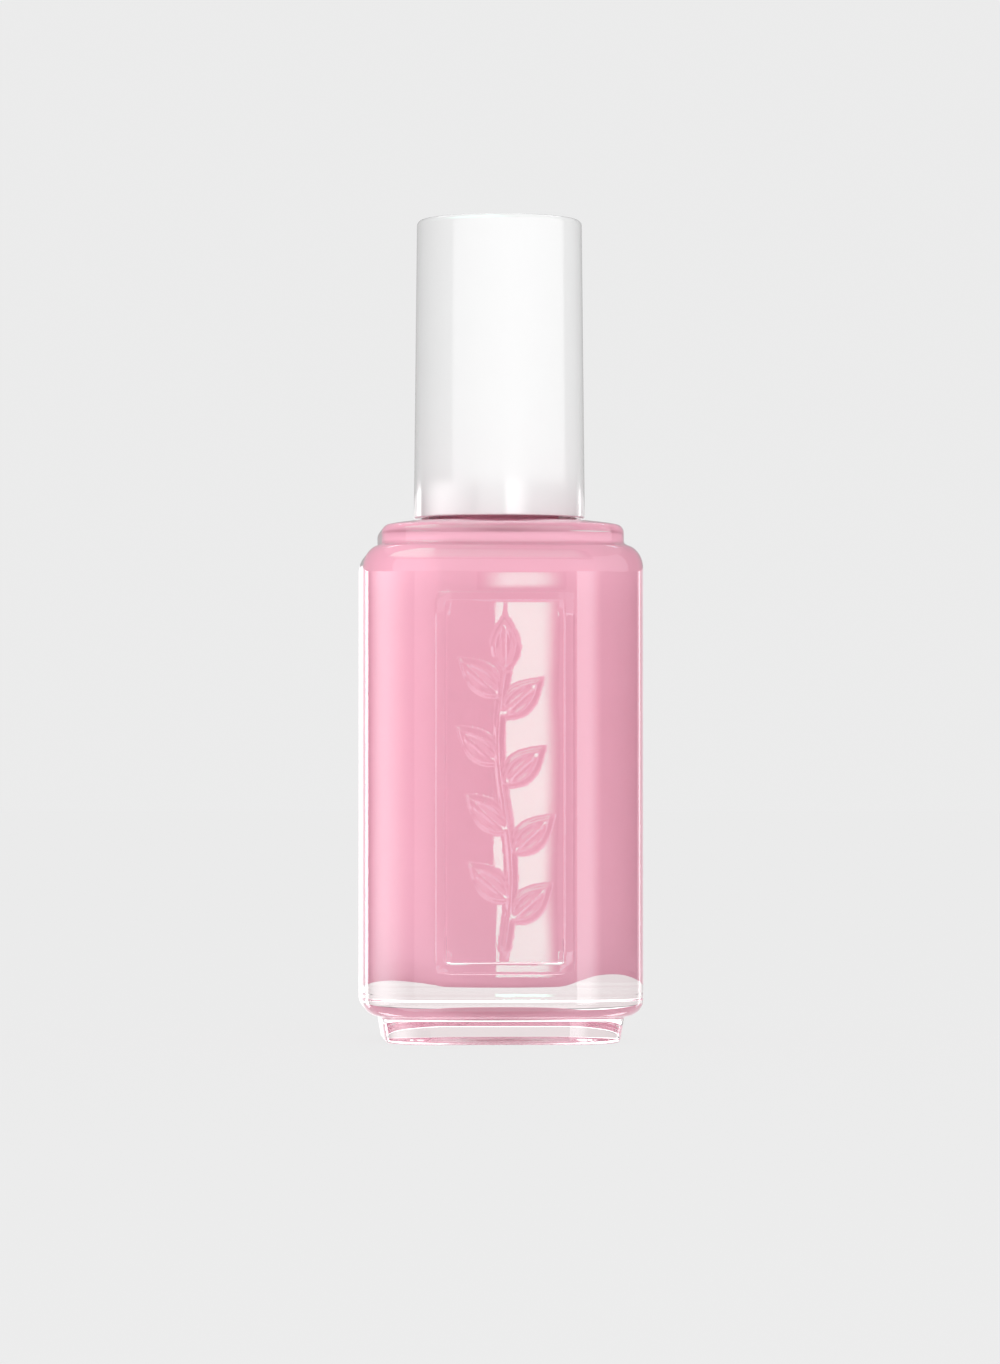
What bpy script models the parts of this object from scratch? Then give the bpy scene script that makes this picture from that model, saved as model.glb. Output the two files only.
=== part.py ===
"""Square glass nail polish bottle with a tall screw cap and brush.

Metres, +Z up. The bottle stands on z = 0 and its axis is the Z axis. The panel with the
raised frame faces -Y.
"""

import math

import bmesh
import bpy
from mathutils import Vector

# Glass body, outside
BODY_HALF = 0.01273
BODY_CORNER = 0.00615
BODY_LOW = 0.0039
BODY_HIGH = 0.0430
FOOT_HALF = 0.01070
FOOT_TOP_HALF = 0.01100
FOOT_TOP = 0.0024
FOOT_EDGE = 0.0004
STEP_CORNER = 0.00490
STEP_LOW = 0.0452
STEP_TOP = 0.0471
STEP_EDGE = 0.0008
SHOULDER_HALF = 0.0080
SHOULDER_TOP = 0.0475
NECK_FOOT = 0.04775
BEARING_INNER_HALF = 0.00880
RECESS_DEPTH = 0.0008
RECESS_EDGE = 0.0002
LEAST_CORNER_SHARE = -0.3

# Glass neck and its screw thread
NECK_RADIUS = 0.0054
NECK_FOOT_RADIUS = 0.0059
LIP_TOP = 0.0580
LIP_EDGE = 0.0004
BORE_RADIUS = 0.0037
BORE_LOW = 0.0480
THREAD_PITCH = 0.002117
THREAD_TURNS = 1.5
THREAD_LOW = 0.0534
NECK_CREST = 0.00585
CAP_ROOT = 0.0063
CAP_CREST = 0.00595
THREAD_BASE = 0.0012
THREAD_TIP = 0.0005
THREAD_SUNK = 0.00015
THREAD_START_SHARE = 0.3
NECK_FOOT_RISE = 0.0010
BORE_FLARE = 0.0012

# Hollow of the glass body
CAVITY_HALF = 0.01020
CAVITY_CORNER = 0.00450
CAVITY_FLOOR = 0.0051
CAVITY_FLOOR_ROUND = 0.00500
CAVITY_FLOOR_RISE = 0.0070
CAVITY_FLOOR_CORNER = 0.0060
CAVITY_ROUNDEST = 0.95
CAVITY_HIGH = 0.0436
CAVITY_ROOF = 0.0462
CAVITY_ROOF_ROUND = 0.0018
CAVITY_TAPER = 0.00015

# Raised frame and leaf sprig on the front
PANEL_LEFT = -0.00650
PANEL_RIGHT = 0.00615
PANEL_LOW = 0.00639
PANEL_HIGH = 0.0409
PANEL_CORNER = 0.0009
FRAME_WIDTH = 0.0011
RELIEF_HEIGHT = 0.00035
RELIEF_SUNK = 0.0004
RELIEF_TOP_SHARE = 0.6
SPRIG_STEM = 0.0005
SPRIG_LOW = 0.0089
SPRIG_HIGH = 0.0334
SPRIG_SWAY = 0.0006
LEAF_LENGTH = 0.0053
LEAF_WIDTH = 0.00135
LEAF_TOP_SHARE = 0.84
LEAF_LOWER = 0.00002
LEAF_PAIRS = 4
LEAF_POWER = 0.85
LEAF_START = 0.35
LEAF_STAGGER = 0.3
LEAF_TILT = math.radians(48)

# Lacquer, balls and label
LIQUID_GAP = 0.0002
LIQUID_TOP = 0.0500
WELL_RADIUS = 0.0023
WELL_FLOOR = 0.0076
BALL_RADIUS = 0.0020
BALL_GAP = 0.00015
BALL_OFFSET = 0.0049
BALL_PLACES = {"mixing_ball_1": (-0.0025, 1), "mixing_ball_2": (0.0020, -1)}
SLOT_HALF_LENGTH = 0.00535
SLOT_HALF_WIDTH = 0.00235
SLOT_TOP = 0.0096
LABEL_RADIUS = 0.0068
LABEL_THICKNESS = 0.0002
LABEL_INSET = 0.00015

# Cap, inner cap, seal and applicator
CAP_LOW = 0.04787
CAP_HIGH = 0.0753
CAP_DOME = 0.0001
CAP_LOW_RADIUS = 0.00785
CAP_HIGH_RADIUS = 0.007575
CAP_EDGE = 0.00055
CAP_WALL = 0.00075
CAP_CEILING = 0.0742
CAP_LIP = 0.00015
CAP_FILLET = 0.0004
CAP_HUB_RADIUS = 0.0030
INNER_LOW = 0.0484
INNER_RADIUS = 0.00685
INNER_CEILING = 0.06025
INNER_ROOF = 0.0622
RIB_TOP = 0.0739
RIB_REACH = 0.0064
RIB_HALF = 0.00045
SOCKET_RADIUS = 0.0026
SOCKET_ROOF = 0.0645
TOWER_RADIUS = 0.0036
TOWER_TOP = 0.0655
SEAL_INNER = 0.0022
SEAL_OUTER = 0.0052
SEAL_LOW = 0.05815
SEAL_HIGH = 0.05895
FLANGE_LOW = 0.0591
FLANGE_HIGH = 0.0601
FLANGE_RADIUS = 0.0060
BOSS_RADIUS = 0.0024
BOSS_TOP = 0.0642
STEM_TOP_RADIUS = 0.00175
STEM_END_RADIUS = 0.0015
STEM_END = 0.0240
TUFT_SOCKET_RADIUS = 0.00115
TUFT_SOCKET_TOP = 0.0290
TUFT_TOP = 0.0286
TUFT_ROOT_RADIUS = 0.0010
TUFT_BELLY_RADIUS = 0.0017
TUFT_TIP = 0.0085
TUFT_DOME = 0.0045
TUFT_FLARE = 0.0003
TUFT_FLARE_DROP = 0.0030
TUFT_SLOT_REACH = 0.0005
ANCHOR_HALF_WIDTH = 0.0008
ANCHOR_HALF_THICKNESS = 0.00013
ANCHOR_LOW = 0.0266
ANCHOR_HIGH = 0.0283
ANCHOR_GAP = 0.00012

# Facets
CORNER_STEPS = 6
SIDE_POINTS = 3
RING_POINTS = 4 * (CORNER_STEPS + 1 + SIDE_POINTS)


def clear_scene():
    for old in list(bpy.data.objects):
        bpy.data.objects.remove(old)


def material(name, colour, roughness, metallic=0.0, transmission=0.0):
    made = bpy.data.materials.new(name)
    made.use_nodes = True
    shader = made.node_tree.nodes["Principled BSDF"]
    shader.inputs["Base Color"].default_value = (*colour, 1.0)
    shader.inputs["Roughness"].default_value = roughness
    shader.inputs["Metallic"].default_value = metallic
    shader.inputs["Transmission Weight"].default_value = transmission
    return made


def make_object(name, bm, finish=None, helper=False):
    """Turns a bmesh into an object. A helper only cuts or joins, so it isn't rendered."""
    bmesh.ops.recalc_face_normals(bm, faces=bm.faces)
    mesh = bpy.data.meshes.new(name)
    bm.to_mesh(mesh)
    bm.free()
    mesh.shade_smooth()
    mesh.set_sharp_from_angle(angle=math.radians(35))
    made = bpy.data.objects.new(name, mesh)
    bpy.context.scene.collection.objects.link(made)
    if finish:
        mesh.materials.append(finish)
    if helper:
        made.hide_render = True
        made.display_type = "WIRE"
    return made


def boolean(target, operation, other):
    step = target.modifiers.new(other.name, "BOOLEAN")
    step.operation = operation
    step.solver = "EXACT"
    step.object = other


def rounded_rectangle(half_x, half_y, corner):
    """RING_POINTS points, counterclockwise, as four corner arcs with points between them."""
    arcs = []
    for quarter in range(4):
        sign_x = (1, -1, -1, 1)[quarter]
        sign_y = (1, 1, -1, -1)[quarter]
        centre = Vector((sign_x * (half_x - corner), sign_y * (half_y - corner)))
        arc = []
        for step in range(CORNER_STEPS + 1):
            angle = math.radians(90 * (quarter + step / CORNER_STEPS))
            arc.append(centre + corner * Vector((math.cos(angle), math.sin(angle))))
        arcs.append(arc)
    points = []
    for quarter, arc in enumerate(arcs):
        following = arcs[(quarter + 1) % 4][0]
        points += arc
        for step in range(1, SIDE_POINTS + 1):
            points.append(arc[-1].lerp(following, step / (SIDE_POINTS + 1)))
    return points


def rounded_square(half, corner):
    return rounded_rectangle(half, half, corner)


def circle(radius, centre=(0.0, 0.0)):
    """RING_POINTS points whose order and first corner match those of rounded_rectangle."""
    turn = 2 * math.pi / RING_POINTS
    first = math.pi / 4 - turn * CORNER_STEPS / 2
    points = []
    for step in range(RING_POINTS):
        angle = first + step * turn
        offset = Vector((math.cos(angle), math.sin(angle)))
        points.append(Vector(centre) + radius * offset)
    return points


def arc_profile(centre, radii, first, last, steps):
    """Points (half width, height) along an elliptical arc, its angles in degrees."""
    points = []
    for step in range(steps + 1):
        angle = math.radians(first + (last - first) * step / steps)
        across = centre[0] + radii[0] * math.cos(angle)
        points.append((across, centre[1] + radii[1] * math.sin(angle)))
    return points


def loft(rings):
    """A closed body through rings of (points, height), its first and last ring filled."""
    bm = bmesh.new()
    loops = []
    for points, height in rings:
        loops.append([bm.verts.new((point.x, point.y, height)) for point in points])
    for lower, upper in zip(loops, loops[1:]):
        for index, vertex in enumerate(lower):
            after = (index + 1) % len(lower)
            bm.faces.new((vertex, lower[after], upper[after], upper[index]))
    bm.faces.new(loops[0])
    bm.faces.new(loops[-1])
    return bm


def turned(profile, centre=(0.0, 0.0)):
    """A body of revolution from (radius, height) pairs, first to last along its surface."""
    return loft([(circle(radius, centre), height) for radius, height in profile])


def block(low, high):
    bm = bmesh.new()
    bmesh.ops.create_cube(bm, size=1.0)
    for vertex in bm.verts:
        for axis in range(3):
            vertex.co[axis] = low[axis] if vertex.co[axis] < 0 else high[axis]
    return bm


def strip(sections, closed):
    """A body swept through sections of equal length. An open one gets its two end faces."""
    bm = bmesh.new()
    loops = [[bm.verts.new(point) for point in section] for section in sections]
    pairs = list(zip(loops, loops[1:]))
    if closed:
        pairs.append((loops[-1], loops[0]))
    else:
        bm.faces.new(loops[0])
        bm.faces.new(loops[-1])
    for one, two in pairs:
        for index, vertex in enumerate(one):
            after = (index + 1) % len(one)
            bm.faces.new((vertex, one[after], two[after], two[index]))
    return bm


def thread_ridge(root, crest):
    """A helical ridge that starts under the surface at radius root and rises to crest."""
    inward = math.copysign(1.0, crest - root)
    anchor = root - inward * THREAD_SUNK
    steps = int(RING_POINTS * THREAD_TURNS)
    fade = RING_POINTS // 8
    sections = []
    for step in range(steps + 1):
        rise = min(1.0, step / fade, (steps - step) / fade)
        angle = 2 * math.pi * (step + 0.5) / RING_POINTS
        height = THREAD_LOW + THREAD_PITCH * step / RING_POINTS
        share = THREAD_START_SHARE + (1 - THREAD_START_SHARE) * rise
        tip = anchor + (crest - anchor) * share
        section = []
        for radius, offset in (
            (anchor, -THREAD_BASE / 2),
            (tip, -THREAD_TIP / 2),
            (tip, THREAD_TIP / 2),
            (anchor, THREAD_BASE / 2),
        ):
            across = (radius * math.cos(angle), radius * math.sin(angle))
            section.append((*across, height + offset))
        sections.append(section)
    return strip(sections, closed=False)


def relief_line(path, half_width, closed):
    """A raised line along a path of (x, z) points on the front face of the glass."""
    face = -BODY_HALF
    sections = []
    count = len(path)
    for index, point in enumerate(path):
        before = path[index - 1] if index or closed else point
        after = path[(index + 1) % count] if index + 1 < count or closed else point
        along = (after - before).normalized()
        across = Vector((-along.y, along.x))
        section = []
        for side, depth in (
            (-1.0, RELIEF_SUNK),
            (-RELIEF_TOP_SHARE, -RELIEF_HEIGHT),
            (RELIEF_TOP_SHARE, -RELIEF_HEIGHT),
            (1.0, RELIEF_SUNK),
        ):
            place = point + across * side * half_width
            section.append((place.x, face + depth, place.y))
        sections.append(section)
    return strip(sections, closed)


def panel_frame():
    """The raised frame: a mitred band round a rectangle with small round corners."""
    centre = Vector(((PANEL_LEFT + PANEL_RIGHT) / 2, (PANEL_LOW + PANEL_HIGH) / 2))
    half_x = (PANEL_RIGHT - PANEL_LEFT - FRAME_WIDTH) / 2
    half_z = (PANEL_HIGH - PANEL_LOW - FRAME_WIDTH) / 2
    path = []
    for point in rounded_rectangle(half_x, half_z, PANEL_CORNER):
        path.append(centre + point)
    return relief_line(path, FRAME_WIDTH / 2, closed=True)


def sprig_point(share):
    """A point on the sprig's stem, at a share of its height."""
    centre = (PANEL_LEFT + PANEL_RIGHT) / 2
    sway = SPRIG_SWAY * math.sin(2 * math.pi * share)
    return Vector((centre + sway, SPRIG_LOW + (SPRIG_HIGH - SPRIG_LOW) * share))


def relief_leaf(root, tilt):
    """A raised pointed leaf with sloping sides, tilted from upright towards +X."""
    along = Vector((math.sin(tilt), math.cos(tilt)))
    across = Vector((along.y, -along.x))
    middle = root + along * LEAF_LENGTH / 2
    steps = 8
    foot = []
    top = []
    for side in (1, -1):
        for step in range(steps):
            share = step / steps if side > 0 else 1 - step / steps
            bulge = LEAF_WIDTH * math.sin(math.pi * share ** LEAF_POWER)
            point = root + along * LEAF_LENGTH * share + across * side * bulge
            inner = middle.lerp(point, LEAF_TOP_SHARE)
            foot.append((point.x, -BODY_HALF + RELIEF_SUNK + LEAF_LOWER, point.y))
            top.append((inner.x, -BODY_HALF - RELIEF_HEIGHT + LEAF_LOWER, inner.y))
    return strip([foot, top], closed=False)


def sprig_shapes():
    """The leaf sprig: one stem, leaves in pairs and one leaf at its tip."""
    stem_steps = 16
    stem = [sprig_point(step / stem_steps) for step in range(stem_steps + 1)]
    shapes = [relief_line(stem, SPRIG_STEM, closed=False)]
    for pair in range(LEAF_PAIRS):
        for side in (1, -1):
            root = sprig_point((pair + LEAF_START + LEAF_STAGGER * (side < 0)) / LEAF_PAIRS)
            shapes.append(relief_leaf(root, side * LEAF_TILT))
    shapes.append(relief_leaf(sprig_point(1.0), 0.0))
    return shapes


def outer_corner(half):
    """The plan corner radius of the outside, which grows with the half width."""
    share = (half - FOOT_TOP_HALF) / (BODY_HALF - FOOT_TOP_HALF)
    return STEP_CORNER + (BODY_CORNER - STEP_CORNER) * max(share, LEAST_CORNER_SHARE)


def outside_profile():
    """Half width and height of the square outside, from its base recess to its shoulder."""
    swell = BODY_HALF - FOOT_TOP_HALF
    profile = [
        (BEARING_INNER_HALF - 2 * RECESS_EDGE, RECESS_DEPTH),
        (BEARING_INNER_HALF - RECESS_EDGE, RECESS_EDGE),
        (BEARING_INNER_HALF, 0.0),
        (FOOT_HALF - FOOT_EDGE, 0.0),
        (FOOT_HALF - FOOT_EDGE / 4, FOOT_EDGE * 0.4),
        (FOOT_HALF + FOOT_EDGE / 4, FOOT_EDGE * 1.2),
        (FOOT_TOP_HALF, FOOT_TOP),
    ]
    lower = (FOOT_TOP_HALF, BODY_LOW)
    profile += arc_profile(lower, (swell, BODY_LOW - FOOT_TOP), -75, 0, 5)
    upper = (FOOT_TOP_HALF, BODY_HIGH)
    profile += arc_profile(upper, (swell, STEP_LOW - BODY_HIGH), 0, 80, 5)
    profile += [(FOOT_TOP_HALF, STEP_LOW)]
    edge = (FOOT_TOP_HALF - STEP_EDGE, STEP_TOP - STEP_EDGE)
    profile += arc_profile(edge, (STEP_EDGE, STEP_EDGE), 0, 80, 3)
    profile += [(SHOULDER_HALF, SHOULDER_TOP)]
    return profile


def cavity_profile():
    """(half width, plan corner, height) of the square hollow, from its top down."""
    rings = []
    roof = (CAVITY_HALF - CAVITY_ROOF_ROUND, CAVITY_HIGH)
    radii = (CAVITY_ROOF_ROUND, CAVITY_ROOF - CAVITY_HIGH)
    for half, height in arc_profile(roof, radii, 84, 0, 4):
        rings.append((half, CAVITY_CORNER, height))
    rings.append((CAVITY_HALF, CAVITY_CORNER, CAVITY_FLOOR + 2 * CAVITY_FLOOR_RISE))
    floor = (CAVITY_HALF - CAVITY_TAPER - CAVITY_FLOOR_ROUND, CAVITY_FLOOR + CAVITY_FLOOR_RISE)
    radii = (CAVITY_FLOOR_ROUND, CAVITY_FLOOR_RISE)
    for half, height in arc_profile(floor, radii, 0, -84, 6):
        share = (floor[1] - height) / CAVITY_FLOOR_RISE
        corner = CAVITY_CORNER + (CAVITY_FLOOR_CORNER - CAVITY_CORNER) * share
        rings.append((half, min(corner, half * CAVITY_ROUNDEST), height))
    last = floor[0] * 0.9
    rings.append((last, last * CAVITY_ROUNDEST, CAVITY_FLOOR))
    return rings


def neck_profile():
    """(radius, height) of the neck: up its outside, over the lip and down its bore."""
    outer = (NECK_RADIUS - LIP_EDGE, LIP_TOP - LIP_EDGE)
    inner = (BORE_RADIUS + LIP_EDGE, LIP_TOP - LIP_EDGE)
    profile = [
        (NECK_FOOT_RADIUS, NECK_FOOT),
        (NECK_RADIUS + NECK_FOOT_RISE / 10, NECK_FOOT + NECK_FOOT_RISE * 0.6),
        (NECK_RADIUS, NECK_FOOT + NECK_FOOT_RISE),
    ]
    profile += arc_profile(outer, (LIP_EDGE, LIP_EDGE), 0, 90, 3)
    profile += arc_profile(inner, (LIP_EDGE, LIP_EDGE), 90, 180, 3)
    profile += [
        (BORE_RADIUS, BORE_LOW),
        (BORE_RADIUS + BORE_FLARE / 4, BORE_LOW - BORE_FLARE * 0.75),
        (BORE_RADIUS + BORE_FLARE, BORE_LOW - BORE_FLARE * 1.25),
    ]
    return profile


def make_bottle(finish):
    rings = []
    for half, height in outside_profile():
        rings.append((rounded_square(half, outer_corner(half)), height))
    for radius, height in neck_profile():
        rings.append((circle(radius), height))
    for half, corner, height in cavity_profile():
        rings.append((rounded_square(half, corner), height))
    bottle = make_object("glass_bottle", loft(rings), finish)
    ridge = thread_ridge(NECK_RADIUS, NECK_CREST)
    boolean(bottle, "UNION", make_object("neck_thread", ridge, helper=True))
    boolean(bottle, "UNION", make_object("panel_frame", panel_frame(), helper=True))
    sprig = bpy.data.collections.new("sprig")
    bpy.context.scene.collection.children.link(sprig)
    for index, shape in enumerate(sprig_shapes()):
        made = make_object(f"sprig_{index:02d}", shape, helper=True)
        bpy.context.scene.collection.objects.unlink(made)
        sprig.objects.link(made)
    step = bottle.modifiers.new("sprig", "BOOLEAN")
    step.operation = "UNION"
    step.solver = "EXACT"
    step.operand_type = "COLLECTION"
    step.collection = sprig


def make_lacquer(finish):
    """The liquid: it fills the hollow up into the neck, less room for what stands in it."""
    rings = [(circle(BORE_RADIUS - LIQUID_GAP), LIQUID_TOP)]
    for radius, height in neck_profile()[-3:]:
        rings.append((circle(radius - LIQUID_GAP), height - LIQUID_GAP))
    for half, corner, height in cavity_profile():
        square = rounded_square(half - LIQUID_GAP, corner - LIQUID_GAP)
        inward = -LIQUID_GAP if height > CAVITY_HIGH else 0.0
        if height < CAVITY_FLOOR + CAVITY_FLOOR_RISE / 4:
            inward = LIQUID_GAP
        rings.append((square, height + inward))
    lacquer = make_object("nail_lacquer", loft(rings), finish)
    well = turned([(WELL_RADIUS, WELL_FLOOR), (WELL_RADIUS, LIQUID_TOP + 0.001)])
    boolean(lacquer, "DIFFERENCE", make_object("brush_well", well, helper=True))
    for name, (_, side) in BALL_PLACES.items():
        outline = rounded_rectangle(SLOT_HALF_LENGTH, SLOT_HALF_WIDTH, SLOT_HALF_WIDTH * 0.9)
        low = CAVITY_FLOOR - 0.001
        slot = make_object(
            f"{name}_slot", loft([(outline, low), (outline, SLOT_TOP)]), helper=True
        )
        slot.location.y = side * BALL_OFFSET
        boolean(lacquer, "DIFFERENCE", slot)


def make_balls(finish):
    for name, (place, side) in BALL_PLACES.items():
        bm = bmesh.new()
        bmesh.ops.create_uvsphere(bm, u_segments=20, v_segments=12, radius=BALL_RADIUS)
        ball = make_object(name, bm, finish)
        height = CAVITY_FLOOR + BALL_GAP + BALL_RADIUS
        ball.location = (place, side * BALL_OFFSET, height)


def make_label(finish):
    top = RECESS_DEPTH - LABEL_INSET
    profile = [(LABEL_RADIUS, top - LABEL_THICKNESS), (LABEL_RADIUS, top)]
    make_object("base_label", turned(profile), finish)


def make_outer_cap(finish):
    inner_low = CAP_LOW_RADIUS - CAP_WALL
    inner_high = CAP_HIGH_RADIUS - CAP_WALL
    edge = (CAP_HIGH_RADIUS - CAP_EDGE, CAP_HIGH - CAP_EDGE)
    profile = [
        (CAP_HUB_RADIUS, CAP_CEILING),
        (inner_high - CAP_FILLET, CAP_CEILING),
        (inner_high, CAP_CEILING - CAP_FILLET),
        (inner_low, CAP_LOW + CAP_LIP),
        (inner_low + CAP_LIP, CAP_LOW),
        (CAP_LOW_RADIUS - CAP_LIP, CAP_LOW),
        (CAP_LOW_RADIUS, CAP_LOW + CAP_LIP),
    ]
    profile += arc_profile(edge, (CAP_EDGE, CAP_EDGE), 0, 90, 5)
    profile += [(CAP_HUB_RADIUS, CAP_HIGH + CAP_DOME)]
    make_object("outer_cap", turned(profile), finish)


def make_inner_cap(finish):
    """The threaded liner: skirt, ceiling, stem tower and the ribs that centre the cap."""
    edge = 0.0002
    profile = [
        (SOCKET_RADIUS, SOCKET_ROOF),
        (SOCKET_RADIUS, INNER_CEILING),
        (CAP_ROOT, INNER_CEILING),
        (CAP_ROOT, INNER_LOW + edge),
        (CAP_ROOT + edge, INNER_LOW),
        (INNER_RADIUS - edge, INNER_LOW),
        (INNER_RADIUS, INNER_LOW + edge),
        (INNER_RADIUS, INNER_ROOF - edge),
        (INNER_RADIUS - edge, INNER_ROOF),
        (TOWER_RADIUS, INNER_ROOF),
        (TOWER_RADIUS, TOWER_TOP),
    ]
    inner = make_object("inner_cap", turned(profile), finish)
    ridge = thread_ridge(CAP_ROOT, CAP_CREST)
    boolean(inner, "UNION", make_object("cap_thread", ridge, helper=True))
    sunk = 0.0002
    cross = {"rib_x": (RIB_REACH, RIB_HALF), "rib_y": (RIB_HALF, RIB_REACH)}
    for name, (reach_x, reach_y) in cross.items():
        low = (-reach_x, -reach_y, TOWER_TOP - sunk)
        rib = block(low, (reach_x, reach_y, RIB_TOP))
        boolean(inner, "UNION", make_object(name, rib, helper=True))
    for quarter in range(4):
        low = (TOWER_RADIUS - 0.0005, -RIB_HALF, INNER_ROOF - sunk)
        web = block(low, (RIB_REACH, RIB_HALF, TOWER_TOP))
        made = make_object(f"rib_web_{quarter}", web, helper=True)
        made.rotation_euler.z = math.radians(90 * quarter)
        boolean(inner, "UNION", made)


def make_seal(finish):
    edge = 0.00012
    profile = [
        (SEAL_INNER, SEAL_HIGH),
        (SEAL_INNER, SEAL_LOW),
        (SEAL_OUTER - edge, SEAL_LOW),
        (SEAL_OUTER, SEAL_LOW + edge),
        (SEAL_OUTER, SEAL_HIGH - edge),
        (SEAL_OUTER - edge, SEAL_HIGH),
    ]
    bm = bmesh.new()
    loops = []
    for radius, height in profile:
        points = circle(radius)
        loops.append([bm.verts.new((point.x, point.y, height)) for point in points])
    for one, two in zip(loops, loops[1:] + loops[:1]):
        for index, vertex in enumerate(one):
            after = (index + 1) % RING_POINTS
            bm.faces.new((vertex, one[after], two[after], two[index]))
    make_object("seal_washer", bm, finish)


def make_stem(finish):
    """Rod, sealing flange and boss in one moulding, with a blind socket for the tuft."""
    edge = 0.00015
    taper = 0.0006
    profile = [
        (TUFT_SOCKET_RADIUS, TUFT_SOCKET_TOP),
        (TUFT_SOCKET_RADIUS, STEM_END),
        (STEM_END_RADIUS - edge, STEM_END),
        (STEM_END_RADIUS, STEM_END + edge),
        (STEM_TOP_RADIUS, FLANGE_LOW - taper),
        (STEM_TOP_RADIUS + edge, FLANGE_LOW),
        (FLANGE_RADIUS - edge, FLANGE_LOW),
        (FLANGE_RADIUS, FLANGE_LOW + edge),
        (FLANGE_RADIUS, FLANGE_HIGH - edge),
        (FLANGE_RADIUS - edge, FLANGE_HIGH),
        (BOSS_RADIUS, FLANGE_HIGH),
        (BOSS_RADIUS, BOSS_TOP - edge),
        (BOSS_RADIUS - edge, BOSS_TOP),
    ]
    make_object("brush_stem", turned(profile), finish)


def make_bristles(finish):
    """The tuft's outer shape: packed root, widest two thirds down, domed tip."""
    profile = [
        (TUFT_ROOT_RADIUS, TUFT_TOP),
        (TUFT_ROOT_RADIUS, STEM_END - TUFT_FLARE),
        (TUFT_ROOT_RADIUS + TUFT_FLARE, STEM_END - TUFT_FLARE_DROP),
    ]
    tip = (0.0, TUFT_TIP + TUFT_DOME)
    profile += arc_profile(tip, (TUFT_BELLY_RADIUS, TUFT_DOME), 0, -75, 6)
    tuft = make_object("brush_bristles", turned(profile), finish)
    room = ANCHOR_HALF_THICKNESS + ANCHOR_GAP
    reach = TUFT_ROOT_RADIUS + TUFT_SLOT_REACH
    high = (reach, room, TUFT_TOP + TUFT_SLOT_REACH)
    slot = block((-reach, -room, ANCHOR_LOW - ANCHOR_GAP), high)
    boolean(tuft, "DIFFERENCE", make_object("anchor_slot", slot, helper=True))


def make_anchor(finish):
    low = (-ANCHOR_HALF_WIDTH, -ANCHOR_HALF_THICKNESS, ANCHOR_LOW)
    high = (ANCHOR_HALF_WIDTH, ANCHOR_HALF_THICKNESS, ANCHOR_HIGH)
    make_object("tuft_anchor", block(low, high), finish)


def main():
    clear_scene()
    steel = material("steel", (0.60, 0.60, 0.62), 0.18, metallic=1.0)
    white_plastic = material("white_plastic", (0.87, 0.87, 0.86), 0.22)
    natural_plastic = material("natural_plastic", (0.78, 0.77, 0.73), 0.40)
    make_bottle(material("clear_glass", (0.97, 0.98, 0.98), 0.02, transmission=1.0))
    make_lacquer(material("pink_lacquer", (0.83, 0.40, 0.50), 0.15))
    make_balls(steel)
    make_label(material("label_paper", (0.86, 0.86, 0.84), 0.45))
    make_outer_cap(white_plastic)
    make_inner_cap(natural_plastic)
    make_seal(material("seal_foam", (0.75, 0.75, 0.72), 0.60))
    make_stem(natural_plastic)
    make_bristles(material("nylon_bristle", (0.05, 0.04, 0.04), 0.35))
    make_anchor(steel)


main()
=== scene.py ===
"""Looks of the square glass nail polish bottle: fine meshes, materials, studio and camera.

Metres, +Z up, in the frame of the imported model. The panel with the raised frame faces -Y.
"""

import math

import bmesh
import bpy
import numpy as np
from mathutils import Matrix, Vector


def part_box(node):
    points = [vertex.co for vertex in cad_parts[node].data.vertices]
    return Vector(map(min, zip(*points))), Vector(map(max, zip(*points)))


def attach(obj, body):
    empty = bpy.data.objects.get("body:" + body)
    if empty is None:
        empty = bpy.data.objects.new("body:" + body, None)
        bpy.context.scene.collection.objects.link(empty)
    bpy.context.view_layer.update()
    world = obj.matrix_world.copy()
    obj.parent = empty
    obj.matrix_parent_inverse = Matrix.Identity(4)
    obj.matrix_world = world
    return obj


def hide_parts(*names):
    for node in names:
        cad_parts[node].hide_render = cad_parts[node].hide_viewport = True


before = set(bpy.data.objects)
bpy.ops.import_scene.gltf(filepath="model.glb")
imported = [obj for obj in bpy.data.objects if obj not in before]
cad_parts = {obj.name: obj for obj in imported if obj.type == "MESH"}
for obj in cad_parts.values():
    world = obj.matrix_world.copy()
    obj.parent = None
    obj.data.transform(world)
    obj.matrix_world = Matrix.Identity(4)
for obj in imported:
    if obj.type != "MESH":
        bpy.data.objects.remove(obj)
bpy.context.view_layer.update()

MM = 0.001

# Glass body, outside
BODY_HALF = 12.73 * MM
BODY_CORNER = 6.15 * MM
BODY_LOW = 3.9 * MM
BODY_HIGH = 43.0 * MM
FOOT_HALF = 10.7 * MM
FOOT_TOP_HALF = 11.0 * MM
FOOT_TOP = 2.4 * MM
FOOT_EDGE = 0.4 * MM
FOOT_FILLET = 0.3 * MM
STEP_CORNER = 4.9 * MM
LEAST_CORNER_SHARE = -0.3
STEP_LOW = 45.2 * MM
STEP_TOP = 47.1 * MM
STEP_EDGE = 0.8 * MM
STEP_GROOVE = 0.35 * MM
SHOULDER_HALF = 8.0 * MM
SHOULDER_TOP = 47.5 * MM
SHOULDER_POWER = 0.8
NECK_FOOT = 47.75 * MM
BEARING_INNER_HALF = 8.8 * MM
RECESS_DEPTH = 0.8 * MM
RECESS_EDGE = 0.2 * MM
RIPPLE_DEPTH = 0.008 * MM
RIPPLE_PITCH = 0.5 * MM
RIPPLES = 2
RIPPLE_STEPS = 10

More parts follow.
